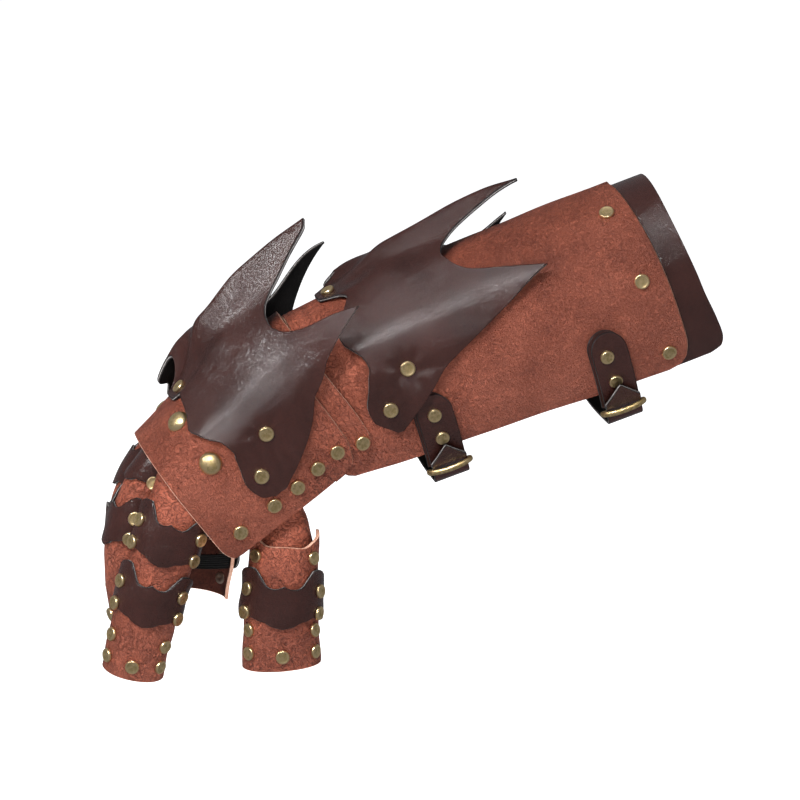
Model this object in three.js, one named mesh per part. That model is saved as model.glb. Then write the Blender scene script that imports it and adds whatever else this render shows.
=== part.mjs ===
// A right-hand leather gauntlet: tan guards on the forearm, the back of the hand and the fingers, dark
// scalloped bands over the finger joints, and a dark folded plate with three spikes on the forearm and
// on the hand. The wearer's elbow is towards +X, the fingers hang towards -X and down, the thumb side
// is -Y. The origin is the seat of the forearm, in the middle of the hollow behind the wrist.
import * as THREE from "three";
import { mergeVertices } from "three/addons/utils/BufferGeometryUtils.js";

// ---- Driving dimensions: millimetres and degrees ----

// The two limbs are tilted frames in the plane y = 0. along is measured on the limb's axis, across is an
// angle around it, 0 on the back of the limb and positive on the thumb side.
const forearmLimb = { origin: [-47.7, 0, 5.8], tilt: 18.5, towardsElbow: true };
const handLimb = { origin: [-50.3, 0, 17.2], tilt: 37.4, towardsElbow: false };

// Half width, height above the axis and depth below it, at stations along each limb.
const forearmSection = {
  along: [0, 30, 182],
  halfWidth: [37.5, 41.2, 46],
  top: [40.5, 44, 48],
  bottom: [66, 67, 72],
};
const handSection = {
  along: [0, 62, 90],
  halfWidth: [46, 45.3, 44.9],
  top: [33, 30.8, 26.5],
  bottom: [90, 90, 90],
};

// Wall thicknesses, and how far the base of each layer stands out from the limb's section.
const leather = { guard: 2, crest: 2, under: 1.8, finger: 1.8, band: 1.6, strap: 1.8, elastic: 1 };
const layer = {
  cuff: -2.3,
  guard: 0,
  wristGuard: -2.3,
  tab: 2.4,
  crest: 2.6,
  band: 2.3,
  sleeve: -2.4,
};

// Outlines: for each angle, where a sheet starts (front, towards its limb's origin) and ends (back).
const forearmGuardOutline = {
  front: [[0, 0], [128, 0]],
  back: [[0, 183], [29, 185], [96, 189], [114, 190], [122, 188], [126, 184], [128, 177]],
};
const cuffOutline = {
  front: [[0, 120], [128, 120]],
  back: [[0, 202], [36, 203], [97, 207], [112, 209], [120, 209], [126, 205], [128, 198]],
};
const wristGuardOutline = {
  front: [[0, -8], [100, -8], [112, -7], [118, -4], [121, 2]],
  back: [[0, 22], [121, 22]],
};
const handGuardOutline = {
  front: [[0, 2], [92, 3], [108, 4], [115, 7], [119, 13]],
  back: [[0, 89], [100, 90], [112, 90], [116, 88], [119, 84]],
};
const forearmCrestOutline = {
  front: [[0, 20], [12, 20], [23, 33], [38, 26], [50, 21], [57, 22], [62, 25], [67, 28], [74, 29.5],
    [82, 27], [89, 25], [96, 22], [102, 23], [107, 29], [110, 33]],
  back: [[0, 137], [6, 118], [13, 95.5], [20, 87.5], [25, 86], [36, 90.5], [42, 96.5], [47, 107.5],
    [53, 122.5], [57, 132.5], [61, 122.5], [67, 110.5], [74, 96], [87, 70], [96, 56.5], [105, 42.5],
    [110, 36]],
};
const handCrestOutline = {
  front: [[0, -49], [3, -46.5], [9, -29], [12, -20], [20, -6], [27, -2.5], [34, -1.5], [42, -4], [49, -10.5],
    [53, -17.5], [58, -31], [63, -42.5], [69, -25.5], [74, -15], [84, -4], [96, 12.5], [103, 28.5],
    [108, 43.5]],
  back: [[0, 62], [13, 57], [23, 57.5], [37, 60], [49, 64], [58, 61.5], [66, 58.5], [74, 54.5], [85, 53],
    [93, 55.5], [99, 58.5], [105, 56.5], [108, 51]],
};

// The folded ridge of each crest: its height above the crest's base along the limb, how its spikes flare
// off the limb, how much higher the spike on the little finger's side is, and how far the crest is lifted
// over a strap tab.
const forearmRidge = {
  along: [20, 30, 60, 85, 105, 121, 137],
  height: [1, 6.6, 12.6, 16.2, 18.4, 19.2, 17.8],
  flare: { from: 95, to: 150, by: 6, outerRise: 14, tab: 2.3 },
};
const handRidge = {
  along: [-48, -27, -7, 18, 39, 54, 64],
  height: [26.8, 28.3, 27.2, 22.4, 18, 14, 2],
  flare: { from: 10, to: -50, by: 12, outerRise: 9.5, tab: 0 },
};
// How much of a ridge's height is left at each angle from its top: steep at first, then a low shoulder.
const ridgeFall = {
  angle: [0, 6, 12, 18, 26, 40, 60, 80],
  share: [1, 0.74, 0.5, 0.385, 0.31, 0.2, 0.08, 0],
};
// The hand crest's spike on the little finger's side is longer than its twin, by this much at its tip.
const outerSpike = { angle: -63, halfWidth: 8, longer: 7 };

// The buckled straps under the forearm.
const strapWidth = 19;
const tabReach = [99, 136];
const tabRounding = 11;
const tabTopShare = 0.15;
const tabSteps = 8;
const straps = { wrist: 54, elbow: 149 };
const ring = { wire: 1.3, depth: 14, corner: 2.8, segments: 3, at: 139, out: 5.3, lean: 11 };
const strapTip = { angle: 122, out: 8.2 };
const strapFarEnd = { angle: -106, out: 3.5 };
const strapBow = 6;
const ringCrossing = 0.7;
const palmStrap = {
  along: 26, width: 13, out: -3.8, ends: [106, 113],
  middle: [[28, -43], [0, -46], [-28, -43]],
};

// Fingers: the curve of the back of each finger, the way that its back faces, its half width and depth
// at the knuckle and at the tip, and the places of its two bands along the curve.
const fingers = {
  index: {
    curve: [[-115.5, -39, -28], [-127.5, -44, -52], [-140.5, -45, -94], [-147.5, -38, -132.5]],
    faces: [-0.2, -1, 0.05], half: [14.4, 14.4], depth: [11, 12], bands: [30.5, 63.3],
  },
  middle: {
    curve: [[-122, -11, -13], [-146, -11, -26], [-164, -11, -70], [-149, -11, -112]],
    faces: [-1, -0.22, 0], half: [10.5, 12], depth: [13, 11.5], bands: [13.5, 48.5],
  },
  ring: {
    curve: [[-125, 23, -18], [-145, 26, -31], [-158, 26, -73], [-142, 24, -108]],
    faces: [-1, 0.15, 0], half: [11, 12], depth: [13, 11.5], bands: [18, 50],
  },
  little: {
    curve: [[-99, 33, -28], [-100, 34, -52], [-99, 37, -80], [-104, 38, -107]],
    faces: [-0.15, 1, 0], half: [14, 13.5], depth: [12, 11], bands: [23, 51],
  },
};
const thumb = {
  curve: [[-64, -36, -41], [-66, -41, -66], [-70, -42, -106], [-68.5, -42, -131]],
  faces: [-0.1, -1, 0], half: [14.9, 18.7], depth: [14, 14], bands: [51],
};
const fingerWrap = { base: 92, plate: 98, band: 104, tip: 104, elastic: 96 };
const seam = 0.6;
const elastic = { width: 8, fromTip: 24, slack: 2 };
const bandRise = [[0, 5.5], [14, 4.2], [28, 5.7], [35, 8.6], [43, 11.6], [51, 13.6], [76, 12.6], [104, 6]];
const bandDrop = [[0, 16.3], [14, 15.5], [28, 13.2], [42, 12.4], [51, 11.5], [76, 14.2], [88, 13], [104, 7]];
const thumbPlateTop = [[0, 25], [30, 25.5], [60, 22], [98, 17]];
const thumbSleeve = { top: [[0, 0], [40, 1.5], [66, 7], [92, 18]], end: 40 };

// Rivet caps, radius and height, and their places as [angle, along].
const cap = { radius: 4, height: 2 };
const dome = { radius: 6, height: 3.6 };
const knuckleDomes = { index: [80, 65.5], middle: [31, 66], ring: [-46, 69.5], little: [-80, 65.5] };
const forearmCrestRivets = [[83, 48], [99, 33]];
const handCrestRivets = [[89.5, 34], [99.5, 49.5]];
const rivetGap = 0.6;

// ---- Materials ----

const tanLeather = new THREE.MeshStandardMaterial({ color: 0x8e4f3a, roughness: 0.55 });
const darkLeather = new THREE.MeshStandardMaterial({ color: 0x3f2826, roughness: 0.38 });
const antiqueBrass = new THREE.MeshStandardMaterial({ color: 0xa08a55, roughness: 0.35, metalness: 1 });
const blackElastic = new THREE.MeshStandardMaterial({ color: 0x111111, roughness: 0.8 });

// ---- Shapes ----

const group = new THREE.Group();
const radians = THREE.MathUtils.degToRad;
const vector = (list) => new THREE.Vector3(...list);

function add(name, geometry, material) {
  const mesh = new THREE.Mesh(geometry, material);
  mesh.name = name;
  group.add(mesh);
  return mesh;
}

// The height at x of the line through the points (xs, ys), level beyond its ends.
function follow(x, xs, ys) {
  if (x <= xs[0]) return ys[0];
  for (let i = 1; i < xs.length; i++)
    if (x <= xs[i]) return THREE.MathUtils.mapLinear(x, xs[i - 1], xs[i], ys[i - 1], ys[i]);
  return ys[ys.length - 1];
}
// Where an outline given as [angle, along] pairs lies at an angle, the same on both sides.
const edge = (pairs, angle) =>
  follow(Math.abs(angle), pairs.map((pair) => pair[0]), pairs.map((pair) => pair[1]));

function limbFrame({ origin, tilt, towardsElbow }) {
  const t = radians(tilt);
  const way = towardsElbow ? 1 : -1;
  return {
    origin: vector(origin),
    along: new THREE.Vector3(way * Math.cos(t), 0, way * Math.sin(t)),
    up: new THREE.Vector3(-Math.sin(t), 0, Math.cos(t)),
    side: new THREE.Vector3(0, -1, 0),
  };
}
const forearmFrame = limbFrame(forearmLimb);
const handFrame = limbFrame(handLimb);

function inFrame(frame, along, up, side) {
  return frame.origin
    .clone()
    .addScaledVector(frame.along, along)
    .addScaledVector(frame.up, up)
    .addScaledVector(frame.side, side);
}

// A point on a limb: an upper half ellipse on the back and a deeper lower one, out from both by out.
function onLimb(frame, section, angle, along, out) {
  const a = radians(angle);
  const height = Math.cos(a) > 0 ? section.top : section.bottom;
  const up = (follow(along, section.along, height) + out) * Math.cos(a);
  const side = (follow(along, section.along, section.halfWidth) + out) * Math.sin(a);
  return inFrame(frame, along, up, side);
}
const onForearm = (angle, along, out) => onLimb(forearmFrame, forearmSection, angle, along, out);
const onHand = (angle, along, out) => onLimb(handFrame, handSection, angle, along, out);

// A point on a crest: the limb's surface, raised to a ridge over its middle and flared at the spikes.
function onCrest(onBase, frame, ridge, angle, along, out) {
  const bend = Math.abs(angle);
  const smooth = THREE.MathUtils.smoothstep;
  const { from, to, by, outerRise, tab } = ridge.flare;
  const tipward = smooth((along - from) / (to - from), 0, 1);
  const flared = by * tipward * smooth(bend, 20, 60);
  const overTab = tab * smooth(along, 32, 46) * smooth(bend, 84, 98);
  const lift = follow(bend, ridgeFall.angle, ridgeFall.share);
  const risen = angle < 0 ? outerRise * tipward * smooth(bend, 30, 58) : 0;
  return onBase(angle, along, layer.crest + flared + overTab + out).addScaledVector(
    frame.up,
    lift * follow(along, ridge.along, ridge.height) + risen,
  );
}
const onForearmCrest = (angle, along, out) =>
  onCrest(onForearm, forearmFrame, forearmRidge, angle, along, out);
const onHandCrest = (angle, along, out) =>
  onCrest(onHand, handFrame, handRidge, angle, along, out);

// A closed wall between two sheets of the same grid: angles across, and rows from front to back.
function wall(surface, angles, front, back, rows, inner, thickness) {
  const points = [];
  for (const out of [inner, inner + thickness])
    for (const angle of angles)
      for (let row = 0; row <= rows; row++) {
        const along = THREE.MathUtils.lerp(front(angle), back(angle), row / rows);
        points.push(...surface(angle, along, out).toArray());
      }
  const columns = angles.length;
  const index = [];
  const at = (sheet, column, row) => (sheet * columns + column) * (rows + 1) + row;
  const quad = (a, b, c, d) => index.push(a, b, c, a, c, d);
  for (let i = 0; i < columns - 1; i++) {
    for (let j = 0; j < rows; j++) {
      quad(at(1, i, j), at(1, i + 1, j), at(1, i + 1, j + 1), at(1, i, j + 1));
      quad(at(0, i, j), at(0, i, j + 1), at(0, i + 1, j + 1), at(0, i + 1, j));
    }
    quad(at(0, i, 0), at(0, i + 1, 0), at(1, i + 1, 0), at(1, i, 0));
    quad(at(1, i, rows), at(1, i + 1, rows), at(0, i + 1, rows), at(0, i, rows));
  }
  for (let j = 0; j < rows; j++) {
    quad(at(0, 0, j), at(1, 0, j), at(1, 0, j + 1), at(0, 0, j + 1));
    const last = columns - 1;
    quad(at(1, last, j), at(0, last, j), at(0, last, j + 1), at(1, last, j + 1));
  }
  return facingOut(new THREE.BufferGeometry()
    .setAttribute("position", new THREE.Float32BufferAttribute(points, 3))
    .setIndex(index));
}

// Turns a closed geometry whose faces point inwards the right way round.
function facingOut(geometry) {
  const place = geometry.getAttribute("position");
  const index = geometry.index.array;
  const [a, b, c] = [new THREE.Vector3(), new THREE.Vector3(), new THREE.Vector3()];
  let volume = 0;
  for (let i = 0; i < index.length; i += 3) {
    a.fromBufferAttribute(place, index[i]);
    b.fromBufferAttribute(place, index[i + 1]);
    c.fromBufferAttribute(place, index[i + 2]);
    volume += a.dot(b.cross(c));
  }
  if (volume < 0)
    for (let i = 0; i < index.length; i += 3)
      [index[i + 1], index[i + 2]] = [index[i + 2], index[i + 1]];
  geometry.computeVertexNormals();
  return geometry;
}

// Angles from -most to most in even steps, or through every corner of an outline.
function evenAngles(most, step) {
  const count = Math.ceil((2 * most) / step);
  return Array.from({ length: count + 1 }, (_, i) => -most + (2 * most * i) / count);
}
function outlineAngles(outline, step) {
  const corners = new Set([...outline.front, ...outline.back].map((pair) => pair[0]));
  const sorted = [...corners].sort((a, b) => a - b);
  const half = [];
  sorted.forEach((angle, i) => {
    if (i > 0) {
      const count = Math.ceil((angle - sorted[i - 1]) / step);
      for (let k = 1; k < count; k++)
        half.push(THREE.MathUtils.lerp(sorted[i - 1], angle, k / count));
    }
    half.push(angle);
  });
  return [...half.slice(1).reverse().map((angle) => -angle), ...half];
}
function outlinedWall(surface, outline, step, rows, inner, thickness, longer = () => 0) {
  const front = (angle) => edge(outline.front, angle) - longer(angle);
  const back = (angle) => edge(outline.back, angle);
  return wall(surface, outlineAngles(outline, step), front, back, rows, inner, thickness);
}

// ---- Guards and crests ----

const limbStep = 12;
add("elbow_cuff",
  outlinedWall(onForearm, cuffOutline, limbStep, 2, layer.cuff, leather.under), darkLeather);
add("forearm_guard",
  outlinedWall(onForearm, forearmGuardOutline, limbStep, 4, layer.guard, leather.guard), tanLeather);
add("wrist_guard",
  outlinedWall(onHand, wristGuardOutline, limbStep, 2, layer.wristGuard, leather.under), tanLeather);
add("hand_guard",
  outlinedWall(onHand, handGuardOutline, limbStep, 3, layer.guard, leather.guard), tanLeather);
const crestStep = 12;
const crestRows = 6;
add("forearm_crest",
  outlinedWall(onForearmCrest, forearmCrestOutline, crestStep, crestRows, 0, leather.crest), darkLeather);
add("hand_crest",
  outlinedWall(onHandCrest, handCrestOutline, crestStep, crestRows, 0, leather.crest, (angle) =>
    outerSpike.longer * Math.max(0, 1 - Math.abs(angle - outerSpike.angle) / outerSpike.halfWidth)),
  darkLeather);

// ---- Straps under the forearm ----

// A ribbon of even thickness along points [side, up] of a limb's section, from along for its width.
function ribbon(frame, points, along, width, thickness) {
  const line = new THREE.CatmullRomCurve3(points.map(([x, y]) => new THREE.Vector3(x, y, 0)));
  const steps = points.length * 3;
  const outer = [];
  const inner = [];
  for (let i = 0; i <= steps; i++) {
    const place = line.getPoint(i / steps);
    const tangent = line.getTangent(i / steps);
    const normal = new THREE.Vector2(-tangent.y, tangent.x).multiplyScalar(thickness / 2);
    outer.push(new THREE.Vector2(place.x, place.y).add(normal));
    inner.push(new THREE.Vector2(place.x, place.y).sub(normal));
  }
  const shape = new THREE.Shape([...outer, ...inner.reverse()]);
  const geometry = new THREE.ExtrudeGeometry(shape, { depth: width, bevelEnabled: false });
  const start = inFrame(frame, along, 0, 0);
  geometry.applyMatrix4(
    new THREE.Matrix4().makeBasis(frame.side, frame.up, frame.along).setPosition(start));
  geometry.deleteAttribute("normal");
  geometry.deleteAttribute("uv");
  return facingOut(mergeVertices(geometry));
}

// The place [side, up] in a limb's section of a point of its surface.
function inSection(frame, point) {
  const arm = point.clone().sub(frame.origin);
  return [arm.dot(frame.side), arm.dot(frame.up)];
}

// A flat ring with long sides, around the strap: a square wire along a rounded rectangle, whose short
// axis leans a little upwards from the limb's side.
function ringGeometry(frame, centre) {
  const long = strapWidth / 2 + 2;
  const short = ring.depth / 2 - ring.wire;
  const rounded = (reach) => {
    const path = new THREE.Path();
    const r = ring.corner + reach;
    const [x, y] = [long - ring.corner, short - ring.corner];
    path.absarc(x, -y, r, -Math.PI / 2, 0);
    path.absarc(x, y, r, 0, Math.PI / 2);
    path.absarc(-x, y, r, Math.PI / 2, Math.PI);
    path.absarc(-x, -y, r, Math.PI, (3 * Math.PI) / 2);
    return path.getPoints(ring.segments);
  };
  const shape = new THREE.Shape(rounded(ring.wire));
  shape.holes.push(new THREE.Path(rounded(-ring.wire)));
  const geometry = new THREE.ExtrudeGeometry(shape, { depth: 2 * ring.wire, bevelEnabled: false });
  geometry.translate(0, 0, -ring.wire);
  const lean = radians(ring.lean);
  const outward = frame.side.clone().multiplyScalar(Math.cos(lean)).addScaledVector(frame.up, Math.sin(lean));
  const down = new THREE.Vector3().crossVectors(frame.along, outward);
  geometry.applyMatrix4(new THREE.Matrix4().makeBasis(frame.along, outward, down).setPosition(centre));
  geometry.deleteAttribute("normal");
  geometry.deleteAttribute("uv");
  return facingOut(mergeVertices(geometry));
}

for (const [place, middle] of Object.entries(straps)) {
  const half = strapWidth / 2;
  const [topAngle, endAngle] = tabReach;
  const rounding = (angle) => {
    const toRound = Math.max(0, (topAngle + tabRounding - angle) / tabRounding);
    return half * Math.sqrt(Math.max(tabTopShare, 1 - toRound ** 2));
  };
  const angles = Array.from({ length: tabSteps + 1 }, (_, i) =>
    THREE.MathUtils.lerp(topAngle, endAngle, (i / tabSteps) ** 1.4));
  add(`strap_tab_${place}`,
    wall(onForearm, angles, (angle) => middle - rounding(angle), (angle) => middle + rounding(angle),
      2, layer.tab, leather.strap), darkLeather);

  const at = (angle, out) => inSection(forearmFrame, onForearm(angle, middle, out));
  add(`buckle_${place}`,
    ringGeometry(forearmFrame, onForearm(ring.at, middle, ring.out)), antiqueBrass);

  const [edgeSide, edgeUp] = at(ring.at, ring.out + 0.6);
  const strapLine = [
    at(strapTip.angle, strapTip.out),
    at((strapTip.angle + ring.at) / 2, strapTip.out - 1),
    [edgeSide - ringCrossing, edgeUp],
    [edgeSide - strapBow / 2, edgeUp - 0.6 * strapBow],
    [edgeSide - 1.3 * strapBow, edgeUp - 0.93 * strapBow],
    [0, edgeUp - strapBow],
    [(2 * strapBow) / 3 - edgeSide, edgeUp - strapBow / 2],
    at(strapFarEnd.angle - 28, strapFarEnd.out + 0.5),
    at(strapFarEnd.angle - 18, strapFarEnd.out),
    at(strapFarEnd.angle - 8, strapFarEnd.out),
    at(strapFarEnd.angle, strapFarEnd.out),
  ];
  add(`strap_${place}`,
    ribbon(forearmFrame, strapLine, middle - half, strapWidth, leather.strap), darkLeather);
}

// The plain strap across the palm, inside both sides of the hand guard.
const palm = (angle) => inSection(handFrame, onHand(angle, palmStrap.along, palmStrap.out));
const [palmTop, palmEdge] = palmStrap.ends;
add("palm_strap",
  ribbon(handFrame, [palm(palmTop), palm(palmEdge), ...palmStrap.middle, palm(-palmEdge), palm(-palmTop)],
    palmStrap.along - palmStrap.width / 2, palmStrap.width, leather.strap), darkLeather);

// ---- Fingers ----

// The surface of a finger: sections around its curve, open towards the palm.
function fingerSurface({ curve, faces, half, depth }) {
  const line = new THREE.CubicBezierCurve3(...curve.map(vector));
  const length = line.getLength();
  const surface = (angle, along, out) => {
    const run = THREE.MathUtils.clamp(along / length, 0, 1);
    const tangent = line.getTangentAt(run);
    const normal = vector(faces).addScaledVector(tangent, -vector(faces).dot(tangent)).normalize();
    const side = new THREE.Vector3().crossVectors(tangent, normal);
    const a = radians(angle);
    const deep = THREE.MathUtils.lerp(depth[0], depth[1], run);
    const wide = THREE.MathUtils.lerp(half[0], half[1], run);
    return line
      .getPointAt(run)
      .addScaledVector(normal, (deep + out) * Math.cos(a) - deep)
      .addScaledVector(side, (wide + out) * Math.sin(a));
  };
  return { surface, length };
}

const fingerAngleStep = 23;
function addBand(name, surface, middle) {
  const outline = {
    front: bandRise.map(([angle, rise]) => [angle, middle - rise]),
    back: bandDrop.map(([angle, drop]) => [angle, middle + drop]),
  };
  add(name, outlinedWall(surface, outline, fingerAngleStep, 2, layer.band, leather.band), darkLeather);
}
function addTube(name, surface, wrap, from, to, rows, inner, thickness, material) {
  add(name, wall(surface, evenAngles(wrap, fingerAngleStep), from, to, rows, inner, thickness), material);
}
// A strip of elastic behind a finger, from one inside edge of its tip to the other.
function addElastic(name, surface, from) {
  const strip = (part, along, out) => {
    const ends = [1, -1].map((way) => surface(way * fingerWrap.elastic, along, -seam));
    const inward = surface(0, along, 0).sub(surface(0, along, 1));
    const slack = elastic.slack * 4 * part * (1 - part);
    return ends[0].lerp(ends[1], part).addScaledVector(inward, slack + out);
  };
  const parts = Array.from({ length: 7 }, (_, i) => i / 6);
  add(name, wall(strip, parts, () => from, () => from + elastic.width, 1, 0, leather.elastic),
    blackElastic);
}

for (const [name, finger] of Object.entries(fingers)) {
  const { surface, length } = fingerSurface(finger);
  const [knuckle, end] = finger.bands;
  const tan = (part, wrap, from, to, rows) =>
    addTube(`${name}_${part}`, surface, wrap, () => from, () => to, rows, 0, leather.finger, tanLeather);
  tan("base", fingerWrap.base, 0, knuckle - seam, 2);
  tan("plate", fingerWrap.plate, knuckle + seam, end - seam, 2);
  tan("tip", fingerWrap.tip, end + seam, length, 2);
  addBand(`${name}_knuckle_band`, surface, knuckle);
  addBand(`${name}_end_band`, surface, end);
  addElastic(`${name}_elastic`, surface, length - elastic.fromTip);
}

const thumbShape = fingerSurface(thumb);
const [thumbJoint] = thumb.bands;
addTube("thumb_sleeve", thumbShape.surface, fingerWrap.base, (angle) => edge(thumbSleeve.top, angle),
  () => thumbSleeve.end, 2, layer.sleeve, leather.finger, tanLeather);
addTube("thumb_plate", thumbShape.surface, fingerWrap.plate, (angle) => edge(thumbPlateTop, angle),
  () => thumbJoint - seam, 2, 0, leather.finger, tanLeather);
addTube("thumb_tip", thumbShape.surface, fingerWrap.tip, () => thumbJoint + seam,
  () => thumbShape.length, 2, 0, leather.finger, tanLeather);
addBand("thumb_band", thumbShape.surface, thumbJoint);
addElastic("thumb_elastic", thumbShape.surface, thumbShape.length - elastic.fromTip);

// ---- Rivets ----

// A turned cap on a surface: flat underneath, its axis along the surface's way out.
function addRivet(name, surface, [angle, along], out, { radius, height }) {
  const profile = [
    [0, 0], [radius, 0], [radius, height * 0.4], [radius * 0.86, height * 0.8], [0, height],
  ].map(([x, y]) => new THREE.Vector2(x, y));
  const geometry = new THREE.LatheGeometry(profile, 10);
  const step = 0.5;
  const around = surface(angle + step, along, out).sub(surface(angle - step, along, out));
  const down = surface(angle, along + step, out).sub(surface(angle, along - step, out));
  const normal = new THREE.Vector3().crossVectors(around, down).normalize();
  const outward = surface(angle, along, out + 1).sub(surface(angle, along, out));
  if (normal.dot(outward) < 0) normal.negate();
  const mesh = add(name, geometry, antiqueBrass);
  mesh.quaternion.setFromUnitVectors(new THREE.Vector3(0, 1, 0), normal);
  mesh.position.copy(surface(angle, along, out)).addScaledVector(normal, rivetGap);
}

for (const [name, place] of Object.entries(knuckleDomes))
  addRivet(`knuckle_dome_${name}`, onHand, place, leather.guard, dome);
for (const [side, way] of Object.entries({ thumb: 1, outer: -1 })) {
  forearmCrestRivets.forEach(([angle, along], i) =>
    addRivet(`forearm_crest_rivet_${side}_${i + 1}`, onForearmCrest, [way * angle, along],
      leather.crest, cap));
  handCrestRivets.forEach(([angle, along], i) =>
    addRivet(`hand_crest_rivet_${side}_${i + 1}`, onHandCrest, [way * angle, along],
      leather.crest, cap));
}

export default group;
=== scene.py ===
# The looks of a right-hand leather gauntlet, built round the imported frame, in metres.
# The elbow is towards +X, the fingers hang towards -X and down, and the thumb side is -Y.
import math

import bpy
import numpy as np
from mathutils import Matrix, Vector
from mathutils.kdtree import KDTree


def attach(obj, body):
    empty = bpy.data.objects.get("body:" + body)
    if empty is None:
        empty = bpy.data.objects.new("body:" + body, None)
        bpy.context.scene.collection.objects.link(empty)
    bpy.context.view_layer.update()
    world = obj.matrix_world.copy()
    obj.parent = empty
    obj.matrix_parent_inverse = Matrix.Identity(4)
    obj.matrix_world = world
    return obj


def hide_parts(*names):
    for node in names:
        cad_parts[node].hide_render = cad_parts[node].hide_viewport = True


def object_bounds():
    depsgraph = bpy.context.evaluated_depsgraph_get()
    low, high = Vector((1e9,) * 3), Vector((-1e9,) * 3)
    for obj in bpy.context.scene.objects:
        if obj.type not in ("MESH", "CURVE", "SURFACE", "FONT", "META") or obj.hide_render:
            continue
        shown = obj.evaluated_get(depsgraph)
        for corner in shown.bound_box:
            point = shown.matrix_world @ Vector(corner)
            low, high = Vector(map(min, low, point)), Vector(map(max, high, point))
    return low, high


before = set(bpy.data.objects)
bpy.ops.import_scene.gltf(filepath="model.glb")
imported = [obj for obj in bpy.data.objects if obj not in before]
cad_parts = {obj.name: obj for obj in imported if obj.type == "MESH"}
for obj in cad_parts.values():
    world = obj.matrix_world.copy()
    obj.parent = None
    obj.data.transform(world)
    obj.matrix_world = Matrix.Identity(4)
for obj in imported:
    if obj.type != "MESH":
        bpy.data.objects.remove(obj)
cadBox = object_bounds()
mm = 0.001
print("stage: frame loaded")

# numbers along a line


def smooth(value, start, end):
    t = np.clip((value - start) / (end - start), 0.0, 1.0)
    return t * t * (3 - 2 * t)


def hump(value, middle, reach):
    return np.exp(-(((value - middle) / reach) ** 2))


def softPiece(points):  # a smooth line through points that never overshoots them
    x, y = points.T
    step = np.diff(x)
    slope = np.diff(y) / step
    lean = np.zeros_like(y)
    lean[0], lean[-1] = slope[0], slope[-1]
    before, after = slope[:-1], slope[1:]
    same = before * after > 0
    weightBefore, weightAfter = 2 * step[1:] + step[:-1], step[1:] + 2 * step[:-1]
    lean[1:-1][same] = (weightBefore + weightAfter)[same] / (
        weightBefore[same] / before[same] + weightAfter[same] / after[same])

    def value(at):
        at = np.clip(at, x[0], x[-1])
        i = np.clip(np.searchsorted(x, at, side="right") - 1, 0, len(step) - 1)
        t = (at - x[i]) / step[i]
        return ((1 + 2 * t) * (1 - t) ** 2 * y[i] + t * (1 - t) ** 2 * step[i] * lean[i]
                + t * t * (3 - 2 * t) * y[i + 1] + t * t * (t - 1) * step[i] * lean[i + 1])

    return value


def softLine(pairs, corners=()):  # the same, with a sharp point at each corner
    points = np.array(pairs, float)
    cuts = [0, *[i for i, x in enumerate(points[:, 0]) if x in corners], len(points) - 1]
    spans = [(a, b) for a, b in zip(cuts, cuts[1:]) if b > a]
    pieces = [(points[a, 0], softPiece(points[a:b + 1])) for a, b in spans]

    def value(at):
        result = pieces[0][1](at)
        for start, piece in pieces[1:]:
            result = np.where(at >= start, piece(at), result)
        return result

    return value


# the two limbs: an angle is measured round a limb's axis from its back, and a place along it in millimetres

limbs = {
    "forearm": {"origin": (-47.7, 0, 5.8), "tilt": 18.5, "way": 1, "stations": (0, 30, 182),
                "halfWidth": (37.5, 41.2, 46), "top": (40.5, 44, 48), "bottom": (66, 67, 72)},
    "hand": {"origin": (-50.3, 0, 17.2), "tilt": 37.4, "way": -1, "stations": (0, 62, 90),
             "halfWidth": (46, 45.3, 44.9), "top": (33, 30.8, 26.5), "bottom": (90, 90, 90)},
}
limbWaves = ((0.3, 17, 23, 0), (0.18, 8, -31, 1.3))


def waving(waves, angle, along):  # each wave is its depth, its run along, its run round, and where it starts
    return sum(depth * np.sin(along / run + angle / turn + start) for depth, run, turn, start in waves)


def limbAxes(limb):
    tilt = math.radians(limb["tilt"])
    along = limb["way"] * np.array((math.cos(tilt), 0, math.sin(tilt)))
    return np.array(limb["origin"]), along, np.array((-math.sin(tilt), 0, math.cos(tilt)))


def limbSurface(limb):
    origin, alongWay, upWay = limbAxes(limb)
    sideWay = np.array((0, -1, 0))

    def surface(angle, along, out, lift=0.0):
        angle, along, out, lift = np.broadcast_arrays(*np.atleast_1d(angle, along, out, lift))
        turn = np.radians(angle)
        half, top, bottom = (np.interp(along, limb["stations"], limb[part])
                             for part in ("halfWidth", "top", "bottom"))
        wave = waving(limbWaves, angle, along)
        up = (np.where(np.cos(turn) > 0, top, bottom) + out + wave) * np.cos(turn) + lift
        side = (half + out + wave) * np.sin(turn)
        return mm * (origin + along[..., None] * alongWay + up[..., None] * upWay
                     + side[..., None] * sideWay)

    return surface


onForearm = limbSurface(limbs["forearm"])
onHand = limbSurface(limbs["hand"])

# sheets of hide

# steps across a cut edge from the outside in: the share of the thickness, the inset, and the slot after it
edgeShapes = {
    "plain": [(0.86, 0.0, 2), (0.14, 0.0, 2)],
    "doubled": [(0.88, 0.0, 2), (0.58, 0.0, 3), (0.5, 0.16, 3), (0.42, 0.0, 2), (0.12, 0.0, 2)],
}
edgeRound = 0.28
closeStep = 0.35  # the size of the extra step beside each end, as a share of the others


def spread(start, end, count):  # even steps with one short step at each end
    step = (end - start) / count
    inner = np.linspace(start + step, end - step, max(count - 1, 2))
    return np.concatenate(([start, start + closeStep * step], inner, [end - closeStep * step, end]))


def bothSides(most, step, corners=()):  # angles from -most to most that meet every corner
    half = spread(0, most, max(int(round(most / step)), 3))[2:]
    half = np.unique(np.concatenate(([0], half, [c for c in corners if 0 < c < most])))
    half = half[np.concatenate(([True], np.diff(half) > 0.15 * step))]
    for corner in corners:
        half[np.argmin(np.abs(half - corner))] = corner
    return np.concatenate((-half[:0:-1], half))


def addObject(name, data):
    made = bpy.data.objects.new(name, data)
    bpy.context.scene.collection.objects.link(made)
    return made


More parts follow.
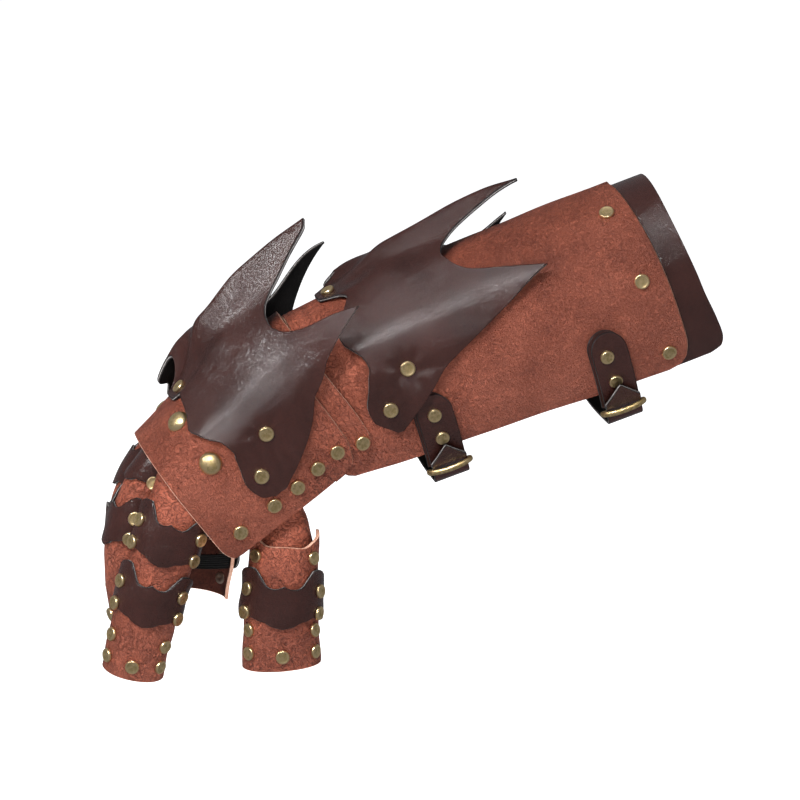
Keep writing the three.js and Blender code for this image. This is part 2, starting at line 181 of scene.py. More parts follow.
def makeMesh(name, points, faces, slots, materials, sheetPlace=None, edgeGap=None):
    mesh = bpy.data.meshes.new(name)
    mesh.from_pydata(points.tolist(), [], faces)
    for material in materials:
        mesh.materials.append(material)
    mesh.polygons.foreach_set("material_index", slots)
    mesh.polygons.foreach_set("use_smooth", [True] * len(faces))
    if sheetPlace is not None:
        corner = np.zeros(len(mesh.loops), np.int32)
        mesh.loops.foreach_get("vertex_index", corner)
        mesh.uv_layers.new(name="sheet").data.foreach_set("uv", sheetPlace[corner].ravel())
    if edgeGap is not None:
        mesh.attributes.new("edgeGap", "FLOAT", "POINT").data.foreach_set("value", edgeGap)
    mesh.update()
    piece = addObject(name, mesh)
    return piece


def outwardFaces(points, faces, centre=0):
    corner = points[faces] - centre
    volume = np.einsum("ij,ij->", corner[:, 0], np.cross(corner[:, 1], corner[:, 2]))
    volume += np.einsum("ij,ij->", corner[:, 0], np.cross(corner[:, 2], corner[:, 3]))
    return faces[:, ::-1] if volume < 0 else faces


def edgeRings(outer, inner, loop, inward, edge):
    return [inner[loop] + share * (outer[loop] - inner[loop]) + inset * mm * inward
            for share, inset, _ in edgeShapes[edge]]


def gapToEdge(points, rim):  # how far each point is from the cut edge, in millimetres
    tree = KDTree(len(rim))
    for i, point in enumerate(rim):
        tree.insert(point, i)
    tree.balance()
    return np.array([tree.find(point)[2] for point in points]) / mm


def makeHide(name, surface, columns, front, back, rows, base, thickness, materials, edge="plain"):
    # a wall of hide between two sheets, whose cut edge is rounded and, on doubled hide, grooved
    across, run = np.meshgrid(columns, spread(0, 1, rows), indexing="ij")
    along = front[:, None] + (back - front)[:, None] * run
    outer = surface(across, along, base + thickness)
    inner = surface(across, along, base)
    n, m = across.shape
    number = np.arange(n * m).reshape(n, m)
    loop = np.concatenate((number[0, :-1], number[:-1, -1], number[-1, :0:-1], number[:0:-1, 0]))
    outer, inner = outer.reshape(-1, 3), inner.reshape(-1, 3)
    rim = (outer[loop] + inner[loop]) / 2
    inward = np.cross(np.roll(rim, -1, 0) - np.roll(rim, 1, 0), outer[loop] - inner[loop])
    inward /= np.maximum(np.linalg.norm(inward, axis=1), 1e-12)[:, None]
    middle = m // 2
    if np.dot(inward[middle], inner[number[1, middle]] - inner[number[0, middle]]) < 0:
        inward = -inward
    rings = edgeRings(outer, inner, loop, inward, edge)
    outer[loop] += edgeRound * mm * inward
    inner[loop] += edgeRound * mm * inward
    points = np.concatenate((outer, inner, *rings))

    quads = np.stack((number[:-1, :-1], number[1:, :-1], number[1:, 1:], number[:-1, 1:]), -1).reshape(-1, 4)
    faces = [quads, quads[:, ::-1] + n * m]
    slots = [0] * len(quads) + [1] * len(quads)
    steps = [loop, *[2 * n * m + k * len(loop) + np.arange(len(loop)) for k in range(len(rings))],
             loop + n * m]
    kinds = [2, *[slot for _, _, slot in edgeShapes[edge]]]
    for slot, above, below in zip(kinds, steps, steps[1:]):
        faces.append(np.stack((above, below, np.roll(below, -1), np.roll(above, -1)), -1))
        slots += [slot] * len(loop)
    faces = outwardFaces(points, np.concatenate(faces))

    stepAcross = np.linalg.norm(np.diff(outer.reshape(n, m, 3), axis=0), axis=2).mean(1)
    u = np.concatenate(([0], np.cumsum(stepAcross)))
    place = np.stack((np.repeat(u, m), along.ravel() * mm), 1)
    place = np.concatenate((place, place, *[place[loop]] * len(rings)))
    gap = gapToEdge(outer, rim)
    gap = np.concatenate((gap, gap, np.zeros(len(loop) * len(rings))))
    return makeMesh(name, points, faces.tolist(), np.array(slots, np.int32), materials, place, gap)


def finish(piece, slot, *nodes):
    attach(piece, "root")
    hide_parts(*nodes)
    return piece


# finishes


def put(tree, kind, sockets=None, **settings):  # one node, its sockets fed by numbers, colours or outputs
    made = tree.nodes.new(kind)
    for key, value in settings.items():
        setattr(made, key, value)
    for key, value in (sockets or {}).items():
        if isinstance(value, bpy.types.NodeSocket):
            tree.links.new(value, made.inputs[key])
        else:
            made.inputs[key].default_value = value
    return made


def startMaterial(name, **sockets):
    material = bpy.data.materials.new(name)
    material.use_nodes = True
    tree = material.node_tree
    shader = next(x for x in tree.nodes if x.type == "BSDF_PRINCIPLED")
    for key, value in sockets.items():
        shader.inputs[key.replace("_", " ")].default_value = value
    return material, tree, shader


def ramp(tree, factor, stops):  # stops are (place, grey or colour)
    made = put(tree, "ShaderNodeValToRGB", {0: factor})
    line = made.color_ramp
    while len(line.elements) < len(stops):
        line.elements.new(0.5)
    for element, (place, colour) in zip(line.elements, stops):
        element.position = place
        element.color = (*colour, 1) if isinstance(colour, tuple) else (colour, colour, colour, 1)
    return made.outputs[0]


def blend(tree, factor, one, other):
    made = put(tree, "ShaderNodeMix", data_type="RGBA")
    for key, value in ((0, factor), (6, one), (7, other)):
        if isinstance(value, bpy.types.NodeSocket):
            tree.links.new(value, made.inputs[key])
        else:
            made.inputs[key].default_value = (*value, 1) if isinstance(value, tuple) else value
    return made.outputs[2]


def sums(tree, kind, one, other=0.0, clamp=False):
    return put(tree, "ShaderNodeMath", {0: one, 1: other}, operation=kind, use_clamp=clamp).outputs[0]


def noiseAt(tree, place, scale, detail=3.0, distortion=0.0):
    sockets = {"Vector": place, "Scale": scale, "Detail": detail, "Distortion": distortion}
    return put(tree, "ShaderNodeTexNoise", sockets)


def emboss(tree, height, strength, depth, under=None):  # depth is in metres
    made = put(tree, "ShaderNodeBump", {"Height": height, "Strength": strength, "Distance": depth})
    if under:
        tree.links.new(under, made.inputs["Normal"])
    return made.outputs[0]


def shareOf(tree, value, share, rest):
    made = sums(tree, "MULTIPLY_ADD", value, share)
    if isinstance(rest, bpy.types.NodeSocket):
        tree.links.new(rest, made.node.inputs[2])
    else:
        made.node.inputs[2].default_value = rest
    return made


# colours run from the creases to the raised grain; grain and creases are repeats in a metre
tanLook = {
    "deep": (0.060, 0.0125, 0.0070), "middle": (0.220, 0.056, 0.030), "pale": (0.335, 0.098, 0.058),
    "grain": 400, "stretch": 0.45, "grainDepth": 0.6, "creases": 210, "creaseDepth": 0.8,
    "crackDark": 0.95, "creaseDark": 0.35, "gloss": 0.43,
    "burnish": (0.10, 0.026, 0.016), "burnishWidth": 1.2,
}
darkLook = {
    "deep": (0.009, 0.0024, 0.0017), "middle": (0.024, 0.0060, 0.0041), "pale": (0.040, 0.0112, 0.0083),
    "grain": 520, "stretch": 0.6, "grainDepth": 0.4, "creases": 260, "creaseDepth": 0.35,
    "crackDark": 0.5, "creaseDark": 0.4, "gloss": 0.42,
    "burnish": (0.012, 0.009, 0.009), "burnishWidth": 0.7,
}
anyHide = {  # scales are repeats in a metre, and depths are in metres
    "warpScale": 170, "blotchScale": 34, "blotchShare": 0.55, "speckleScale": 900,
    "fleckShare": 0.22, "burnishShare": 0.8, "glossSpread": 0.16,
    "creaseHeight": 0.0011, "grainHeight": 0.0006, "polishHeight": 0.0001,
}


def hidePattern(tree, look, solid):  # the pebbled grain and the creases, drawn out round the limb
    sheet = put(tree, "ShaderNodeUVMap", uv_map="sheet").outputs[0]
    drawn = put(tree, "ShaderNodeVectorMath", {0: sheet, 1: (look["stretch"], 1, 1)}, operation="MULTIPLY")
    warp = noiseAt(tree, solid, anyHide["warpScale"])
    centred = put(tree, "ShaderNodeVectorMath", {0: warp.outputs["Color"], 1: (0.5, 0.5, 0.5)},
                  operation="SUBTRACT")
    moved = put(tree, "ShaderNodeVectorMath",  # the warp grows from the sheet's first corner
                {0: centred.outputs[0], 1: drawn.outputs[0], 2: drawn.outputs[0]}, operation="MULTIPLY_ADD")
    cells = put(tree, "ShaderNodeTexVoronoi", {"Vector": moved.outputs[0], "Scale": look["grain"]},
                feature="DISTANCE_TO_EDGE", voronoi_dimensions="2D")
    pebble = ramp(tree, cells.outputs["Distance"], [(0.0, 0.0), (0.14, 0.75), (0.4, 1.0)])
    fold = noiseAt(tree, moved.outputs[0], look["creases"], 6, 0.25)
    return pebble, ramp(tree, fold.outputs["Fac"], [(0.34, 0.0), (0.5, 0.75), (0.66, 1.0)])


def hideTone(tree, look, solid, pebble, crease, blotch):
    stops = [(0.32, look["deep"]), (0.5, look["middle"]), (0.70, look["pale"])]
    tone = blend(tree, anyHide["blotchShare"], look["middle"], ramp(tree, blotch, stops))
    for raised, dark in ((pebble, "crackDark"), (crease, "creaseDark")):
        hollow = sums(tree, "SUBTRACT", 1.0, raised)
        tone = blend(tree, sums(tree, "MULTIPLY", hollow, look[dark]), tone, look["deep"])
    speckle = noiseAt(tree, solid, anyHide["speckleScale"], 2)
    fleck = ramp(tree, speckle.outputs["Fac"], [(0.35, 0.0), (0.7, anyHide["fleckShare"])])
    tone = blend(tree, fleck, tone, look["pale"])
    gap = put(tree, "ShaderNodeAttribute", attribute_name="edgeGap").outputs["Fac"]
    worn = put(tree, "ShaderNodeMapRange",
               {0: gap, 1: 0.0, 2: look["burnishWidth"], 3: anyHide["burnishShare"], 4: 0.0})
    return blend(tree, worn.outputs[0], tone, look["burnish"])


def makeLeather(name, look, **sockets):
    material, tree, shader = startMaterial(name, **sockets)
    solid = put(tree, "ShaderNodeTexCoord").outputs["Object"]
    pebble, crease = hidePattern(tree, look, solid)
    blotch = noiseAt(tree, solid, anyHide["blotchScale"], 4).outputs["Fac"]
    tone = hideTone(tree, look, solid, pebble, crease, blotch)
    tree.links.new(tone, shader.inputs["Base Color"])

    vary = anyHide["glossSpread"]
    rough = shareOf(tree, pebble, -vary, look["gloss"] + vary)
    tree.links.new(shareOf(tree, blotch, vary, rough), shader.inputs["Roughness"])

    broad = emboss(tree, crease, look["creaseDepth"], anyHide["creaseHeight"])
    fine = emboss(tree, pebble, look["grainDepth"], anyHide["grainHeight"], broad)
    tree.links.new(fine, shader.inputs["Normal"])
    polish = emboss(tree, pebble, look["grainDepth"], anyHide["polishHeight"])
    tree.links.new(polish, shader.inputs["Coat Normal"])
    return material


def makeSuede(name, colour, paler, nap):  # the flesh side of the hide
    material, tree, shader = startMaterial(name, Roughness=0.92, Specular_IOR_Level=0.2)
    solid = put(tree, "ShaderNodeTexCoord").outputs["Object"]
    fibre = noiseAt(tree, solid, nap, 5, 0.6)
    patch = noiseAt(tree, solid, 60, 3)
    mixed = sums(tree, "MULTIPLY", fibre.outputs["Fac"], patch.outputs["Fac"])
    tree.links.new(ramp(tree, mixed, [(0.12, colour), (0.42, paler)]), shader.inputs["Base Color"])
    tree.links.new(emboss(tree, fibre.outputs["Fac"], 0.5, 0.0005), shader.inputs["Normal"])
    return material


def makeBrass(name, bright, patina, roughness):
    material, tree, shader = startMaterial(name, Metallic=1.0)
    solid = put(tree, "ShaderNodeTexCoord").outputs["Object"]
    cloud = noiseAt(tree, solid, 420, 4, 0.4)
    pit = noiseAt(tree, solid, 1500, 3)
    reach = put(tree, "ShaderNodeAttribute", attribute_name="capReach").outputs["Fac"]
    # painted highlight: a bright, clean ring near the edge of every head. On caps it lies on the raised rim,
    # so it is partly brass rubbed bright there and partly painted highlight; on domes and backs it is painted
    # highlight only
    rim = ramp(tree, reach, [(0.0, 0.0), (0.66, 0.12), (0.86, 1.0), (1.0, 0.5)])
    # dull is the patina share less the painted highlight ring
    dull = sums(tree, "SUBTRACT", ramp(tree, cloud.outputs["Fac"], [(0.36, 0.15), (0.62, 1.0)]), rim, True)
    tree.links.new(blend(tree, dull, bright, patina), shader.inputs["Base Color"])
    tree.links.new(shareOf(tree, dull, 0.2, roughness), shader.inputs["Roughness"])
    tree.links.new(emboss(tree, pit.outputs["Fac"], 0.18, 0.0003), shader.inputs["Normal"])
    return material


def makeElastic(name):
    material, tree, shader = startMaterial(name, Roughness=0.9, Specular_IOR_Level=0.2)
    sheet = put(tree, "ShaderNodeUVMap", uv_map="sheet").outputs[0]
    rib = put(tree, "ShaderNodeTexWave", {"Vector": sheet, "Scale": 260.0, "Distortion": 0.6},
              wave_type="BANDS", bands_direction="Y")
    knit = put(tree, "ShaderNodeTexVoronoi", {"Vector": sheet, "Scale": 1600.0})
    height = sums(tree, "ADD", rib.outputs["Fac"], sums(tree, "MULTIPLY", knit.outputs["Distance"], 0.5))
    tree.links.new(ramp(tree, height, [(0.1, 0.0015), (1.0, 0.007)]), shader.inputs["Base Color"])
    tree.links.new(emboss(tree, height, 0.7, 0.0004), shader.inputs["Normal"])
    return material


tanFace = makeLeather("tanLeatherFace", tanLook, Specular_IOR_Level=0.26)
darkFace = makeLeather("darkLeatherFace", darkLook, Specular_IOR_Level=0.08,
                       Coat_Weight=0.85, Coat_Roughness=0.21)
tanBack = makeSuede("tanLeatherBack", (0.022, 0.006, 0.004), (0.075, 0.020, 0.012), 900)
darkBack = makeSuede("darkLeatherBack", (0.003, 0.0027, 0.0028), (0.010, 0.009, 0.009), 1100)
tanCut = makeSuede("tanLeatherCut", (0.42, 0.20, 0.13), (0.74, 0.47, 0.36), 1800)
darkCut = makeSuede("darkLeatherCut", (0.006, 0.005, 0.005), (0.030, 0.026, 0.026), 1800)
darkCore = makeSuede("darkLeatherCore", (0.16, 0.145, 0.14), (0.36, 0.34, 0.33), 1800)
brass = makeBrass("antiqueBrass", (0.92, 0.70, 0.38), (0.52, 0.38, 0.17), 0.3)
bareBrass = makeBrass("rivetBackMetal", (0.62, 0.50, 0.40), (0.36, 0.27, 0.20), 0.42)
elasticWeb = makeElastic("blackElasticWeb")
tanHide = [tanFace, tanBack, tanCut]
darkHide = [darkFace, darkBack, darkCut, darkCore]
print("stage: finishes made")

# guards on the forearm, the wrist and the back of the hand

guards = {  # outlines are [angle, along] on one side, and the other side is the same
    "forearm_guard": {
        "on": onForearm, "base": 0.0, "thickness": 2.0, "hide": tanHide,
        "front": [[0, 0], [122, 0.3], [126, 2], [128, 6]],
        "back": [[0, 183], [29, 185], [96, 189.5], [114, 190], [122, 188], [126.2, 184], [128, 177]],
        "slot": "tan_leather",
    },
    "elbow_cuff": {
        "on": onForearm, "base": -2.3, "thickness": 1.8, "hide": darkHide,
        "front": [[0, 120], [129.5, 120]],
        "back": [[0, 202], [36, 202], [97, 205.7], [112, 208.3], [121, 209.3], [127, 207.5], [129.5, 201]],
        "slot": "dark_leather",
    },
    "wrist_guard": {
        "on": onHand, "base": -2.3, "thickness": 1.8, "hide": tanHide,
        "front": [[0, -8], [100, -8], [112, -7], [118, -4], [121, 2]],
        "back": [[0, 22], [121, 22]],
        "slot": "tan_leather",
    },
    "hand_guard": {
        "on": onHand, "base": 0.0, "thickness": 2.0, "hide": tanHide,
        "front": [[0, 2], [92, 3], [108, 4], [115, 7], [118, 10], [119, 14]],
        "back": [[0, 89], [60, 89.5], [100, 90], [112, 90], [116.5, 88.5], [118.6, 86], [119, 82]],
        "slot": "tan_leather",
    },
}
guardStep, guardRows = 1.5, 70
nearEdge = np.arange(0.5, 6, 0.5)  # closer columns beside the long edges, where the corners are round
for name, guard in guards.items():
    columns = bothSides(guard["back"][-1][0], guardStep)
    columns = np.concatenate((columns, columns[-1] - nearEdge, columns[0] + nearEdge))
    columns = np.unique(columns.round(2))
    front, back = softLine(guard["front"]), softLine(guard["back"])
    finish(makeHide(name, guard["on"], columns, front(abs(columns)), back(abs(columns)), guardRows,
                    guard["base"], guard["thickness"], guard["hide"]), guard["slot"], name)
print("stage: guards made")

# spiked crests: doubled hide, folded to a ridge and parted into two pleats beside a riveted tongue

crests = {  # outlines are [angle, along], height is [along, height], and flare is (from, to, by, outer rise)
    "forearm_crest": {
        "on": onForearm, "thickness": 2.0, "most": 110, "tips": (57,),
        "height": [[18, 5.2], [30, 6.6], [60, 12.6], [85, 16.2], [105, 18.4], [121, 19.2], [137, 17.8]],
        "parting": (70, 36), "tongueDown": (62, 24), "pins": [[83, 48], [99, 33]],
        "flare": (95, 150, 6, 14), "overTab": 2.3,
        "outerTip": 0, "hollow": {"side": "front", "cut": -8, "reach": 5},
        "front": [[0, 19], [9, 19.6], [15, 25], [23, 33], [30, 30], [38, 26], [50, 21], [57, 22], [62, 25],
                  [67, 28], [74, 29.5], [82, 27], [89, 25], [96, 22], [102, 23], [107, 29], [110, 33]],
        "back": [[0, 138], [6, 118], [13, 95.5], [20, 87.5], [25, 86], [30, 87.5], [36, 90.5], [42, 96.5],
                 [47, 107.5], [53, 122.5], [57, 133], [61, 122.5], [67, 110.5], [74, 96], [87, 70],
                 [96, 56.5], [105, 42.5], [110, 36]],
    },
    "hand_crest": {
        "on": onHand, "thickness": 2.0, "most": 108, "tips": (63,),
        "height": [[-48, 26.8], [-27, 28.3], [-7, 27.2], [18, 22.4], [30, 21], [39, 17.4], [54, 13.5],
                   [67, 11]],
        "parting": (10, 44), "tongueDown": (24, 60), "pins": [[89.5, 34], [99.5, 49.5]],
        "flare": (10, -50, 12, 9.5), "overTab": 0.0,
        "outerTip": 7, "hollow": {"side": "back", "cut": -8, "reach": 5},
        "front": [[0, -49], [3, -46.5], [6, -38.5], [9, -29], [12, -20], [15, -13], [20, -6], [27, -2.5],
                  [34, -1.5], [42, -4], [49, -10.5], [53, -17.5], [58, -31], [63, -43], [69, -25.5],
                  [74, -15], [84, -4], [96, 12.5], [103, 28.5], [108, 43.5]],
        "back": [[0, 62.5], [9, 61.5], [13, 57], [18, 56.5], [23, 57.5], [29, 58.5], [37, 60], [43, 62],
                 [49, 64], [58, 61.5], [66, 58.5], [74, 54.5], [85, 53], [93, 55.5], [99, 58.5],
                 [105, 56.5], [108, 50]],
    },
}
ridgeFall = softLine([[0, 1], [6, 0.74], [12, 0.5], [18, 0.385], [26, 0.31], [40, 0.2], [60, 0.08], [80, 0]])
crestFold = {  # degrees round the limb, and millimetres
    "gap": 2.6, "ridgeRound": 1.4, "pleatAt": 16,
    "nearPleat": 0.26,  # how high the pleat on the thumb side stands, beside the other one
    "valley": ((7, 0.35), (20, 0.55)),  # its inner and outer angle, and the share left where it starts
    "outerFrom": (30, 58), "flareFrom": (20, 60), "tabAlong": (32, 46), "tabAngles": (84, 98),
    "belly": 1.6, "bellyFrom": (40, 62), "bellyTo": (96, 108), "bellyless": (-60, 30),
    "millimetresPerDegree": 0.8, "pinHold": 8.5, "puckers": 7, "pucker": 0.22, "puckerAt": (9, 4),
    "step": 0.8, "rows": 84,
}


def pulledByPins(belly, pins, bend, along):  # the hide lies down round each rivet, in small puckers
    fold = crestFold
    for pinAngle, pinAlong in pins:
        across, down = (bend - pinAngle) * fold["millimetresPerDegree"], along - pinAlong
        far = np.hypot(across, down)
        belly = belly * (1 - 0.95 * hump(far, 0, fold["pinHold"]))
        spoke = np.sin(fold["puckers"] * np.arctan2(down, across) + 1)
        belly = belly + fold["pucker"] * spoke * hump(far, *fold["puckerAt"])
    return belly


def crestSurface(crest):
    fold = crestFold
    height = softLine(crest["height"])
    flareStart, flareEnd, flareBy, outerRise = crest["flare"]

    def surface(angle, along, out):
        angle, along, out = np.broadcast_arrays(*np.atleast_1d(angle, along, out))
        bend = np.sqrt(angle**2 + fold["ridgeRound"]) - math.sqrt(fold["ridgeRound"])
        parted = smooth(along, *crest["parting"])
        held = smooth(along, *crest["tongueDown"])
        ridge = ridgeFall(bend)
        pleat = ridgeFall(np.sqrt(np.maximum(0, bend - fold["pleatAt"]) ** 2 + 0.8) - 0.89)
        shape = ridge + (pleat - ridge) * parted
        valley = 1 - smooth(bend, *(width * (free + (1 - free) * held) for width, free in fold["valley"]))
        pressed = 1 - (1 - fold["nearPleat"]) * parted * smooth(angle, -3, 12)
        tipward = smooth(along, flareStart, flareEnd)
        outer = np.where(angle < 0, outerRise * tipward * smooth(bend, *fold["outerFrom"]), 0)
        lift = height(along) * shape * pressed * (1 - held * valley) + outer
        flared = flareBy * tipward * smooth(bend, *fold["flareFrom"])
        overTab = crest["overTab"] * smooth(along, *fold["tabAlong"]) * smooth(bend, *fold["tabAngles"])
        belly = fold["belly"] * smooth(bend, *fold["bellyFrom"]) * (1 - smooth(bend, *fold["bellyTo"]))
        belly = pulledByPins(belly * (1 - hump(along, *fold["bellyless"])), crest["pins"], bend, along)
        return crest["on"](angle, along, fold["gap"] + flared + overTab + belly + out, lift)

    return surface


def crestOutline(crest, columns):
    front = softLine(crest["front"], crest["tips"])(abs(columns))
    back = softLine(crest["back"], crest["tips"])(abs(columns))
    outer = columns < 0  # on this side a spike is longer, and the pleat's end stands open
    front -= outer * crest["outerTip"] * hump(abs(columns), crest["tips"][0], 5)
    hollow = crest["hollow"]
    opened = outer * (hollow["cut"] * hump(abs(columns), 15, 5) + hollow["reach"] * hump(abs(columns), 26, 5))
    return (front - opened, back) if hollow["side"] == "front" else (front, back + opened)


crestSurfaces = {}
for name, crest in crests.items():
    surface = crestSurfaces[name] = crestSurface(crest)
    columns = bothSides(crest["most"], crestFold["step"], crest["tips"])
    finish(makeHide(name, surface, columns, *crestOutline(crest, columns), crestFold["rows"], 0.0,
                    crest["thickness"], darkHide, "doubled"), "dark_leather", name)
print("stage: crests made")

# fingers: open tubes round a curve, in lames, with scalloped bands over the joints

fingers = {  # the curve runs down the back of the finger, which faces the way that faces says
    "index": {"curve": [[-115.5, -39, -28], [-127.5, -44, -52], [-140.5, -45, -94], [-147.5, -38, -132.5]],
              "faces": [-0.2, -1, 0.05], "half": (14.4, 14.4), "depth": (11, 12), "bands": (30.5, 63.3)},
    "middle": {"curve": [[-122, -11, -13], [-146, -11, -26], [-164, -11, -70], [-149, -11, -112]],
               "faces": [-1, -0.22, 0], "half": (10.5, 12), "depth": (13, 11.5), "bands": (13.5, 48.5)},
    "ring": {"curve": [[-125, 23, -18], [-145, 26, -31], [-158, 26, -73], [-142, 24, -108]],
             "faces": [-1, 0.15, 0], "half": (11, 12), "depth": (13, 11.5), "bands": (18, 50)},
    "little": {"curve": [[-99, 33, -28], [-100, 34, -52], [-99, 37, -80], [-104, 38, -107]],
               "faces": [-0.15, 1, 0], "half": (14, 13.5), "depth": (12, 11), "bands": (23, 51)},
    "thumb": {"curve": [[-64, -36, -41], [-66, -41, -66], [-70, -42, -106], [-68.5, -42, -131]],
              "faces": [-0.1, -1, 0], "half": (14.9, 18.7), "depth": (14, 14), "bands": (51,)},
}
fingerWaves = ((0.25, 5, 40, 0), (0.15, 3.1, -17, 0))
lames = {"base": 92, "plate": 98, "tip": 104, "thickness": 1.8, "gap": 0.6, "step": 4, "rows": 24}
bands = {
    "base": 2.3, "thickness": 1.6, "wrap": 104, "step": 2, "rows": 20,
    "curl": 0.9, "curlFrom": (56, 96), "evenCurl": 0.35,
    "ears": ((-11, 6, 1.0), (8, 5, 0.7)),  # from the joint, reach, and share of the curl
    "rise": [[0, 5.8], [6, 4.8], [14, 4.2], [21, 4.4], [28, 5.7], [35, 8.6], [43, 11.6], [51, 13.6],
             [62, 13.7], [76, 12.6], [90, 10], [104, 6]],
    "drop": [[0, 16.6], [6, 16.1], [14, 15.5], [21, 14.4], [28, 13.2], [36, 12.9], [42, 12.3], [51, 11.7],
             [62, 12.7], [76, 14.2], [88, 13], [104, 7]],
}
elastic = {"width": 8, "fromTip": 24, "slack": 2, "thickness": 1, "reach": 96, "columns": 33, "rows": 12}
thumbPlateTop = [[0, 25], [30, 25.5], [60, 22], [98, 17]]
thumbSleeve = {"base": -2.4, "top": [[0, 0], [40, 1.5], [66, 7], [92, 18]], "end": 40, "taper": 5,
               "taperAlong": (34, 0)}


def fingerSurface(finger):
    t = np.linspace(0, 1, 241)[:, None]
    a, b, c, d = np.array(finger["curve"], float)
    line = (1 - t) ** 3 * a + 3 * t * (1 - t) ** 2 * b + 3 * t * t * (1 - t) * c + t**3 * d
    heading = 3 * ((1 - t) ** 2 * (b - a) + 2 * t * (1 - t) * (c - b) + t * t * (d - c))
    heading /= np.linalg.norm(heading, axis=1)[:, None]
    reached = np.concatenate(([0], np.cumsum(np.linalg.norm(np.diff(line, axis=0), axis=1))))
    length = reached[-1]
    faces = np.array(finger["faces"], float)

    def surface(angle, along, out):
        angle, along, out = np.broadcast_arrays(*np.atleast_1d(angle, along, out))
        kept = np.clip(along, 0, length)
        place = np.stack([np.interp(kept, reached, line[:, k]) for k in range(3)], -1)
        way = np.stack([np.interp(kept, reached, heading[:, k]) for k in range(3)], -1)
        place = place + way * (along - kept)[..., None]
        normal = faces - way * (way @ faces)[..., None]
        normal /= np.linalg.norm(normal, axis=-1)[..., None]
        side = np.cross(way, normal)
        deep, wide = (np.interp(kept, (0, length), finger[part]) for part in ("depth", "half"))
        turn = np.radians(angle)
        soft = waving(fingerWaves, angle, along)
        rise = (deep + out + soft) * np.cos(turn) - deep
        reachOut = (wide + out + soft) * np.sin(turn)
        return mm * (place + normal * rise[..., None] + side * reachOut[..., None])

    return surface, length


def bandSurface(surface, middle):  # the ears of a band curl off the finger
    def curled(angle, along, out):
        ears = [share * hump(along, middle + place, reach) for place, reach, share in bands["ears"]]
        lobes = bands["evenCurl"] + (1 - bands["evenCurl"]) * np.maximum(*ears)
        return surface(angle, along, out + bands["curl"] * lobes * smooth(np.abs(angle), *bands["curlFrom"]))

    return curled


fingerSurfaces, bandSurfaces = {}, {}


def makeLame(name, surface, wrap, front, back, base=0.0):
    columns = bothSides(wrap, lames["step"])
    ends = [edge(abs(columns)) if callable(edge) else np.full(len(columns), float(edge))
            for edge in (front, back)]
    finish(makeHide(name, surface, columns, *ends, lames["rows"], base, lames["thickness"], tanHide),
           "tan_leather", name)


def makeBand(name, surface, middle):
    curled = bandSurfaces[name] = bandSurface(surface, middle)
    columns = bothSides(bands["wrap"], bands["step"])
    front = middle - softLine(bands["rise"], (0,))(abs(columns))
    back = middle + softLine(bands["drop"], (0,))(abs(columns))
    finish(makeHide(name, curled, columns, front, back, bands["rows"], bands["base"], bands["thickness"],
                    darkHide, "doubled"), "dark_leather", name)


def makeElasticStrip(name, surface, start):
    inward = (surface(0, start, 0) - surface(0, start, 1))[0]

    def strip(part, along, out):
        part, along, out = np.broadcast_arrays(*np.atleast_1d(part, along, out))
        one, other = (surface(way * elastic["reach"], along, -lames["gap"]) for way in (1, -1))
        slack = elastic["slack"] * 4 * part * (1 - part)
        return one + (other - one) * part[..., None] + inward * (slack + out)[..., None]

    parts = np.linspace(0, 1, elastic["columns"])
    front = np.full(len(parts), start)
    finish(makeHide(name, strip, parts, front, front + elastic["width"], elastic["rows"], 0.0,
                    elastic["thickness"], [elasticWeb] * 3), "black_elastic", name)


def makeThumbSleeve(surface):  # it narrows towards the wrist, under the hand guard
    def narrowed(angle, along, out):
        return surface(angle, along, out - thumbSleeve["taper"] * smooth(along, *thumbSleeve["taperAlong"]))

    makeLame("thumb_sleeve", narrowed, lames["base"], softLine(thumbSleeve["top"]), thumbSleeve["end"],
             thumbSleeve["base"])


for name, finger in fingers.items():
    surface, length = fingerSurfaces[name] = fingerSurface(finger)
    joint, end = finger["bands"][0], finger["bands"][-1]
    if name == "thumb":
        makeThumbSleeve(surface)
        makeLame("thumb_plate", surface, lames["plate"], softLine(thumbPlateTop), joint - lames["gap"])
        makeBand("thumb_band", surface, joint)
    else:
        makeLame(f"{name}_base", surface, lames["base"], 0, joint - lames["gap"])
        makeLame(f"{name}_plate", surface, lames["plate"], joint + lames["gap"], end - lames["gap"])
        makeBand(f"{name}_knuckle_band", surface, joint)
        makeBand(f"{name}_end_band", surface, end)
    makeLame(f"{name}_tip", surface, lames["tip"], end + lames["gap"], length)
    makeElasticStrip(f"{name}_elastic", surface, length - elastic["fromTip"])
print("stage: fingers made")

# buckled straps under the forearm, and the plain strap across the palm

strapKit = {
    "places": {"wrist": 54, "elbow": 149}, "width": 19, "thickness": 1.8,
    "tabTop": 99, "tabEnd": 136, "tabUnder": (2.4, 0.8), "tabOver": (3.3, 1.0), "tabShift": 1.5,
    "tabGrow": 1.2, "tabMillimetresPerDegree": 1.15,
    "ringAt": 139, "ringOut": 5.3, "ringDepth": 14, "ringRoom": 2, "ringCorner": 3, "ringBow": 1.1,
    "ringLean": 11, "wire": (1.5, 1.15),
    "tipLength": 11, "tipPath": [[121, 8.4], [130, 7.0]],  # [angle, out] from the tip to the ring
    "ringCrossing": 0.6, "underRing": [[-0.7, 0], [-3, -3.6], [-8, -5.6]],  # [side, up] from the ring's edge
    "lowest": -6, "farTurn": [4, -3],
    "farPath": [[-134, 4.0], [-124, 3.4], [-114, 3.3], [-104, 3.3]], "farPins": (8, 21),
}
palmKit = {"along": 26, "width": 13, "out": -3.8, "thickness": 1.8, "ends": (104, 113),
           "path": [[28, -43], [0, -46], [-28, -43]]}


def roundEnd(distance, radius):  # half the width at a distance from a half-round end
    fallen = np.clip(distance / radius, 0.004, 1)
    return radius * np.sqrt(1 - (1 - fallen) ** 2)


def joined(name, pieces):
    with bpy.context.temp_override(active_object=pieces[0], selected_editable_objects=pieces):
        bpy.ops.object.join()
    pieces[0].name = name
    return pieces[0]


